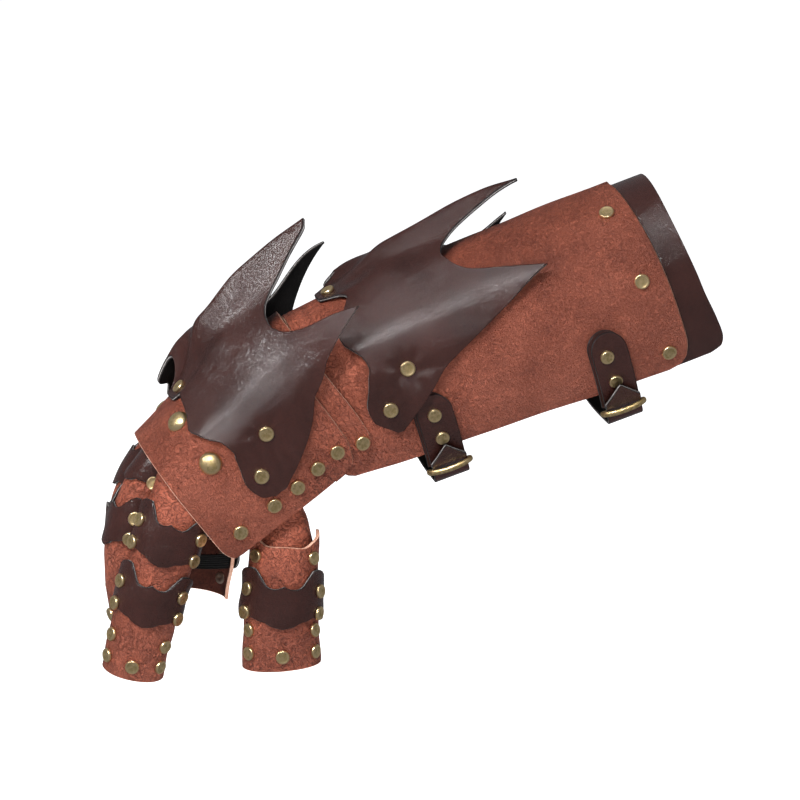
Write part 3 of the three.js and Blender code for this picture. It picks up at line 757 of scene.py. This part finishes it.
def inSection(limb, surface, angle, along, out):  # [side, up] in the limb's section, in millimetres
    origin, _, upWay = limbAxes(limb)
    arm = surface(angle, along, out)[0] / mm - origin
    return [-arm[1], float(arm @ upWay)]


def pathSurface(limb, path):  # a ribbon's place, from its length along the path and its place along the limb
    origin, alongWay, upWay = limbAxes(limb)
    sideWay = np.array((0, -1, 0))
    path = np.array(path, float)
    chord = np.concatenate(([0], np.cumsum(np.linalg.norm(np.diff(path, axis=0), axis=1))))
    lines = [softPiece(np.stack((chord, path[:, k]), 1)) for k in range(2)]

    def surface(reached, along, out):
        reached, along, out = np.broadcast_arrays(*np.atleast_1d(reached, along, out))
        place = [line(reached) for line in lines]
        way = [line(reached + 0.2) - line(reached - 0.2) for line in lines]
        size = np.hypot(*way) + 1e-9
        normal = [-way[1] / size, way[0] / size]
        sign = np.sign(normal[0] * place[0] + normal[1] * place[1])
        sign = np.where(sign == 0, 1, sign)
        side, up = (place[k] + sign * normal[k] * out for k in range(2))
        return mm * (origin + along[..., None] * alongWay + side[..., None] * sideWay
                     + up[..., None] * upWay)

    return surface, chord[-1]


def makeTab(place, middle):
    top, end = strapKit["tabTop"], strapKit["tabEnd"]
    layers = []
    for layer, grow, shift in (("tabUnder", strapKit["tabGrow"], strapKit["tabShift"]), ("tabOver", 0, 0)):
        angles = top - grow + (end - top + grow) * np.linspace(0, 1, 44) ** 1.7
        fromTop = (angles - angles[0]) * strapKit["tabMillimetresPerDegree"]
        width = roundEnd(fromTop, strapKit["width"] / 2)
        base, thickness = strapKit[layer]
        layers.append(makeHide(f"strap_{layer}_{place}", onForearm, angles, middle - width - shift,
                               middle + width - shift, 16, base, thickness, darkHide))
    finish(joined(f"strap_tab_detail_{place}", layers), "dark_leather", f"strap_tab_{place}")


def makeRing(place, middle):
    _, alongWay, upWay = limbAxes(limbs["forearm"])
    centre = onForearm(strapKit["ringAt"], middle, strapKit["ringOut"])[0]
    lean = math.radians(strapKit["ringLean"])
    outward = math.cos(lean) * np.array((0, -1, 0)) + math.sin(lean) * upWay
    down = np.cross(alongWay, outward)
    wide, thin = strapKit["wire"]
    short = strapKit["ringDepth"] / 2 - thin
    long = strapKit["width"] / 2 + strapKit["ringRoom"] - short
    turn = np.linspace(0, math.tau, 97)[:-1]
    x = short * np.cos(turn) + long * np.tanh(strapKit["ringCorner"] * np.cos(turn))
    y = short * np.sin(turn)
    bow = -strapKit["ringBow"] * (x / (long + short)) ** 2
    line = centre + mm * (x[:, None] * alongWay + y[:, None] * outward + bow[:, None] * down)
    heading = np.roll(line, -1, 0) - np.roll(line, 1, 0)
    heading /= np.linalg.norm(heading, axis=1)[:, None]
    sideways = np.cross(heading, down)
    wireTurn = np.linspace(0, math.tau, 17)[:-1]
    points = (line[:, None] + mm * thin * np.cos(wireTurn)[None, :, None] * sideways[:, None]
              + mm * wide * np.sin(wireTurn)[None, :, None] * down).reshape(-1, 3)
    number = np.arange(len(points)).reshape(len(line), len(wireTurn))
    after, beside = np.roll(number, -1, 0), np.roll(number, -1, 1)
    faces = np.stack((number, after, np.roll(after, -1, 1), beside), -1).reshape(-1, 4)
    faces = outwardFaces(points, faces, centre).tolist()
    ring = makeMesh(f"buckle_ring_{place}", points, faces, np.zeros(len(faces), np.int32), [brass])
    finish(ring, "antique_brass", f"buckle_{place}")


def makeStrap(place, middle):
    def at(angle, out):
        return inSection(limbs["forearm"], onForearm, angle, middle, out)

    edgeSide, edgeUp = at(strapKit["ringAt"], strapKit["ringOut"] + strapKit["ringCrossing"])
    farSide, farUp = strapKit["farTurn"]
    path = [*(at(*spot) for spot in strapKit["tipPath"]),
            *([edgeSide + side, edgeUp + up] for side, up in strapKit["underRing"]),
            [0, edgeUp + strapKit["lowest"]], [farSide - edgeSide, edgeUp + farUp],
            *(at(*spot) for spot in strapKit["farPath"])]
    surface, length = pathSurface(limbs["forearm"], path)
    pointed, thickness = strapKit["tipLength"], strapKit["thickness"]
    columns = np.concatenate((pointed * np.linspace(0.02, 1, 22), np.linspace(pointed, length, 150)[1:]))
    width = np.clip(columns / pointed, 0, 1) * roundEnd(length - columns, strapKit["width"] / 2)
    piece = makeHide(f"strap_band_{place}", surface, columns, middle - width, middle + width, 14,
                     -thickness / 2, thickness, darkHide, "doubled")
    finish(piece, "dark_leather", f"strap_{place}")
    return surface, length


strapSurfaces = {}
for place, middle in strapKit["places"].items():
    makeTab(place, middle)
    makeRing(place, middle)
    strapSurfaces[place] = makeStrap(place, middle)

palmEnds = [[inSection(limbs["hand"], onHand, way * angle, palmKit["along"], palmKit["out"])
             for angle in palmKit["ends"]] for way in (1, -1)]
palmSurface, palmLength = pathSurface(limbs["hand"], [*palmEnds[0], *palmKit["path"], *palmEnds[1][::-1]])
palmColumns = np.linspace(0, palmLength, 90)
palmFront = np.full(len(palmColumns), palmKit["along"] - palmKit["width"] / 2)
finish(makeHide("palm_strap_band", palmSurface, palmColumns, palmFront, palmFront + palmKit["width"], 12,
                -palmKit["thickness"] / 2, palmKit["thickness"], darkHide, "doubled"),
       "dark_leather", "palm_strap")
print("stage: straps made")

# rivets

rivetKit = {
    "cap": {"radius": 4.0, "height": 1.7, "profile": [(0, 0.86), (0.6, 0.86), (0.78, 0.95), (0.87, 1.0),
                                                     (0.95, 0.80), (1, 0.30)]},
    "small": {"radius": 3.7, "height": 1.6},
    "dome": {"radius": 6.0, "height": 3.5, "profile": [(0, 1.0), (0.35, 0.95), (0.62, 0.80), (0.82, 0.56),
                                                      (0.95, 0.28), (1, 0.12)]},
    "back": {"radius": 3.4, "height": 0.7, "profile": [(0, 0.45), (0.22, 0.55), (0.32, 1.0), (0.8, 0.95),
                                                      (0.95, 0.7), (1, 0.2)]},
    "seat": 0.12, "segments": 28, "rings": 22, "lean": 0.05, "spin": 3.1,
}
guardPins = {  # [angle, along, lowest layer that the rivet goes through]
    "forearm": [[33, 173, -2.3], [82, 176, -2.3], [118, 179, -2.3]],
    "hand": [[111.3, 76, 0], [111.3, 54, 0], [111.3, 39, 0], [110.5, 25, 0], [110.5, 12, -2.3]],
    "wrist": [[115, -1, -2.3]],
    "dome": [[31, 66, 0], [80, 65.5, 0], [-46, 69.5, 0], [-80, 65.5, 0]],
}
tabPins = {"elbow": [[109, 147], [121.5, 148]], "wrist": [[108, 53.5], [120, 54]]}
tonguePins = {"forearm_crest": [4, 26], "hand_crest": [4, 55]}
bandPins = {"angle": 63, "rises": (-2.3, 9.7)}
tipPins = {"angle": 58, "fromEnd": (20.5, 8.5), "middleFromEnd": 8}
thumbPlatePin = [54, 31]


def rivetTree(name, profile):  # turns one flattened sphere at each point, along the point's axis
    tree = bpy.data.node_groups.new(name, "GeometryNodeTree")
    face = tree.interface
    face.new_socket("Geometry", in_out="INPUT", socket_type="NodeSocketGeometry")
    for label, kind in (("Segments", "Int"), ("Rings", "Int"), ("Lean", "Float"), ("Spin", "Float"),
                        ("Seed", "Int"), ("Material", "Material")):
        face.new_socket(label, in_out="INPUT", socket_type=f"NodeSocket{kind}")
    face.new_socket("Geometry", in_out="OUTPUT", socket_type="NodeSocketGeometry")
    given = tree.nodes.new("NodeGroupInput").outputs
    ball = put(tree, "GeometryNodeMeshUVSphere", {"Segments": given["Segments"], "Rings": given["Rings"]})
    place = put(tree, "GeometryNodeInputPosition")
    parts = put(tree, "ShaderNodeSeparateXYZ", {0: place.outputs[0]})
    flat = put(tree, "ShaderNodeCombineXYZ", {0: parts.outputs[0], 1: parts.outputs[1]})
    reach = put(tree, "ShaderNodeVectorMath", {0: flat.outputs[0]}, operation="LENGTH").outputs["Value"]
    curve = put(tree, "ShaderNodeFloatCurve", {"Value": reach})
    line = curve.mapping.curves[0]
    line.points[0].location, line.points[-1].location = profile[0], profile[-1]
    for x, y in profile[1:-1]:
        line.points.new(x, y)
    curve.mapping.update()
    upper = sums(tree, "GREATER_THAN", parts.outputs[2], -0.001)
    height = sums(tree, "MULTIPLY", curve.outputs[0], upper)
    shaped = put(tree, "ShaderNodeCombineXYZ", {0: parts.outputs[0], 1: parts.outputs[1], 2: height})
    head = put(tree, "GeometryNodeSetPosition",
               {"Geometry": ball.outputs["Mesh"], "Position": shaped.outputs[0]})
    marked = put(tree, "GeometryNodeStoreNamedAttribute", {"Geometry": head.outputs[0], "Name": "capReach"},
                 data_type="FLOAT", domain="POINT")
    tree.links.new(reach, marked.inputs["Value"])
    axis = put(tree, "GeometryNodeInputNamedAttribute", {"Name": "axis"}, data_type="FLOAT_VECTOR")
    size = put(tree, "GeometryNodeInputNamedAttribute", {"Name": "size"}, data_type="FLOAT_VECTOR")
    aimed = put(tree, "FunctionNodeAlignRotationToVector", {"Vector": axis.outputs[0]}, axis="Z")
    most = put(tree, "ShaderNodeCombineXYZ", {0: given["Lean"], 1: given["Lean"], 2: given["Spin"]})
    least = put(tree, "ShaderNodeVectorMath", {0: most.outputs[0]}, operation="SCALE")
    least.inputs["Scale"].default_value = -1
    chance = put(tree, "FunctionNodeRandomValue", {"Seed": given["Seed"]}, data_type="FLOAT_VECTOR")
    tree.links.new(least.outputs[0], chance.inputs[0])
    tree.links.new(most.outputs[0], chance.inputs[1])
    turned = put(tree, "FunctionNodeRotateRotation", {"Rotation": aimed.outputs[0]}, rotation_space="LOCAL")
    tree.links.new(chance.outputs[0], turned.inputs["Rotate By"])
    copies = put(tree, "GeometryNodeInstanceOnPoints", {
        "Points": given["Geometry"], "Instance": marked.outputs[0], "Rotation": turned.outputs[0],
        "Scale": size.outputs[0]})
    real = put(tree, "GeometryNodeRealizeInstances", {0: copies.outputs[0]})
    soft = put(tree, "GeometryNodeSetShadeSmooth", {0: real.outputs[0]})
    done = put(tree, "GeometryNodeSetMaterial", {"Geometry": soft.outputs[0], "Material": given["Material"]})
    sink = tree.nodes.new("NodeGroupOutput")
    tree.links.new(done.outputs[0], sink.inputs[0])
    return tree


def seatOf(surface, angle, along, out, inwards=False):
    step = 0.6  # on each side, to find the way that the hide faces
    here = surface(angle, along, out)[0]
    across = surface(angle + step, along, out)[0] - surface(angle - step, along, out)[0]
    down = surface(angle, along + step, out)[0] - surface(angle, along - step, out)[0]
    axis = np.cross(across, down)
    axis /= np.linalg.norm(axis)
    outward = surface(angle, along, out + 1)[0] - here
    if (axis @ outward < 0) != inwards:
        axis = -axis
    return here - axis * rivetKit["seat"] * mm, axis


def makeRivets(name, seats, profile, material, *nodes, seed=3):
    mesh = bpy.data.meshes.new(name)
    mesh.from_pydata([tuple(place) for place, _, _ in seats], [], [])
    axes = np.array([axis for _, axis, _ in seats], np.float32)
    sizes = np.array([(r * mm, r * mm, h * mm) for _, _, (r, h) in seats], np.float32)
    for label, values in (("axis", axes), ("size", sizes)):
        mesh.attributes.new(label, "FLOAT_VECTOR", "POINT").data.foreach_set("vector", values.ravel())
    piece = addObject(name, mesh)
    tree = rivetTree(f"{name}Nodes", profile)
    modifier = piece.modifiers.new("rivets", "NODES")
    modifier.node_group = tree
    values = {"Segments": rivetKit["segments"], "Rings": rivetKit["rings"], "Lean": rivetKit["lean"],
              "Spin": rivetKit["spin"], "Seed": seed, "Material": material}
    for item in tree.interface.items_tree:
        if item.name in values:
            modifier[item.identifier] = values[item.name]
    bpy.context.view_layer.update()
    shown = piece.evaluated_get(bpy.context.evaluated_depsgraph_get())
    piece.data = bpy.data.meshes.new_from_object(shown)
    piece.modifiers.clear()
    finish(piece, "antique_brass", *nodes)


caps, domes, backs = [], [], []


def addHead(heads, kind, surface, angle, along, out):
    heads.append((*seatOf(surface, angle, along, out, kind == "back"),
                  (rivetKit[kind]["radius"], rivetKit[kind]["height"])))


def addRivet(kind, surface, under, angle, along, out, lowest=0):  # a cap, and its back on the hide under it
    addHead(caps, kind, surface, angle, along, out)
    addHead(backs, "back", under, angle, along, lowest)


for angle, along, lowest in guardPins["dome"]:
    addHead(domes, "dome", onHand, angle, along, guards["hand_guard"]["thickness"])
    addHead(backs, "back", onHand, angle, along, lowest)
for way in (1, -1):
    for group in ("forearm", "hand", "wrist"):
        guard = guards[f"{group}_guard"]
        for angle, along, lowest in guardPins[group]:
            addRivet("cap", guard["on"], guard["on"], way * angle, along, guard["base"] + guard["thickness"],
                     lowest)
    for name, crest in crests.items():
        for angle, along in crest["pins"]:
            addRivet("cap", crestSurfaces[name], crest["on"], way * angle, along, crest["thickness"])
for name, (angle, along) in tonguePins.items():
    addHead(caps, "small", crestSurfaces[name], angle, along, crests[name]["thickness"])
for place, pins in tabPins.items():
    for angle, along in pins:
        addRivet("small", onForearm, onForearm, angle, along, sum(strapKit["tabOver"]))
    surface, length = strapSurfaces[place]
    middle, face = strapKit["places"][place], strapKit["thickness"] / 2
    for fromEnd in strapKit["farPins"]:
        addHead(caps, "small", surface, length - fromEnd, middle, face)
for way in (1, -1):
    for name, curled in bandSurfaces.items():
        finger = name.split("_")[0]
        joint = fingers[finger]["bands"][-1 if "end" in name else 0]
        for rise in bandPins["rises"]:
            addRivet("small", curled, fingerSurfaces[finger][0], way * bandPins["angle"], joint + rise,
                     bands["base"] + bands["thickness"])
    for name, (surface, length) in fingerSurfaces.items():
        for fromEnd in tipPins["fromEnd"]:
            addRivet("small", surface, surface, way * tipPins["angle"], length - fromEnd, lames["thickness"])
    angle, along = thumbPlatePin
    addHead(caps, "small", fingerSurfaces["thumb"][0], way * angle, along, lames["thickness"])
for surface, length in fingerSurfaces.values():
    addHead(caps, "small", surface, 0, length - tipPins["middleFromEnd"], lames["thickness"])

crestRivets = [f"{limb}_crest_rivet_{side}_{i}" for limb in ("forearm", "hand")
               for side in ("thumb", "outer") for i in (1, 2)]
knuckles = [f"knuckle_dome_{finger}" for finger in ("index", "middle", "ring", "little")]
makeRivets("rivet_caps", caps, rivetKit["cap"]["profile"], brass, *crestRivets)
makeRivets("knuckle_domes", domes, rivetKit["dome"]["profile"], brass, *knuckles, seed=5)
makeRivets("rivet_backs", backs, rivetKit["back"]["profile"], bareBrass, seed=7)
print("stage: rivets made")

# floor, light and camera

studio = {
    "floorDrop": 0.11, "floorSize": 24.0, "floorColour": (0.93, 0.93, 0.93), "floorGlow": 0.7,
    "skyColour": (0.93, 0.95, 1.0), "skyStrength": 0.24,
    "sun": {"turn": (-78, 50), "strength": 0.3, "softness": 16},
    # azimuth, elevation, distance in metres, power in watts, size in metres, and whether gloss shows it
    "softboxes": {
        "topFill": (-60, 64, 1.4, 6, (0.8, 0.8), False),
        "frontFill": (-8, 0, 2.0, 26, (1.2, 1.0), False),
        "shadeFill": (-42, 28, 2.0, 19, (0.4, 0.4), False),
        "forearmStrip": (-27, 44, 1.3, 16, (0.36, 0.13), True),
        "handStrip": (-66, 39, 1.3, 6, (0.16, 0.26), True),
    },
    "cameraAngles": (-10, 13), "lens": 200, "fieldWidth": 0.416, "sensor": 36, "clipEnd": 50,
}


def wayFrom(azimuth, elevation):  # azimuth 0 is the thumb side, and positive turns towards the elbow
    a, e = math.radians(azimuth), math.radians(elevation)
    return Vector((math.sin(a) * math.cos(e), -math.cos(a) * math.cos(e), math.sin(e)))


def putLamp(name, light, azimuth, elevation, distance, glossy):
    lamp = addObject(name, light)
    lamp.location = wayFrom(azimuth, elevation) * distance
    lamp.rotation_euler = wayFrom(azimuth, elevation).to_track_quat("Z", "Y").to_euler()
    lamp.visible_glossy = glossy


floorMesh = bpy.data.meshes.new("floor")
half = studio["floorSize"] / 2
level = cadBox[0].z - studio["floorDrop"]
floorMesh.from_pydata([(x * half, y * half, level) for x, y in ((-1, -1), (1, -1), (1, 1), (-1, 1))], [],
                      [(0, 1, 2, 3)])
floorPaint, _, floorShader = startMaterial("floorPaint", Roughness=0.9)
floorShader.inputs["Base Color"].default_value = (*studio["floorColour"], 1)
floorShader.inputs["Emission Color"].default_value = (1, 1, 1, 1)
floorShader.inputs["Emission Strength"].default_value = studio["floorGlow"]
floorMesh.materials.append(floorPaint)
floor = addObject("floor", floorMesh)
floor.visible_glossy = False

world = bpy.data.worlds.new("studioSky")
world.use_nodes = True
sky = next(x for x in world.node_tree.nodes if x.type == "BACKGROUND")
sky.inputs["Color"].default_value = (*studio["skyColour"], 1)
sky.inputs["Strength"].default_value = studio["skyStrength"]
bpy.context.scene.world = world

sunLight = bpy.data.lights.new("studioSun", "SUN")
sunLight.energy = studio["sun"]["strength"]
sunLight.angle = math.radians(studio["sun"]["softness"])
putLamp("studioSun", sunLight, *studio["sun"]["turn"], 0, False)
for name, (azimuth, elevation, distance, power, size, glossy) in studio["softboxes"].items():
    light = bpy.data.lights.new(name, "AREA")
    light.shape = "RECTANGLE"
    light.energy = power
    light.size, light.size_y = size
    putLamp(name, light, azimuth, elevation, distance, glossy)

cameraData = bpy.data.cameras.new("camera")
cameraData.lens, cameraData.sensor_width = studio["lens"], studio["sensor"]
camera = addObject("camera", cameraData)
away = wayFrom(*studio["cameraAngles"])
camera.location = away * studio["fieldWidth"] * studio["lens"] / studio["sensor"]
camera.rotation_euler = away.to_track_quat("Z", "Y").to_euler()
cameraData.clip_end = studio["clipEnd"]
bpy.context.scene.camera = camera
bpy.context.scene.view_settings.view_transform = "Standard"
print("stage: studio made")
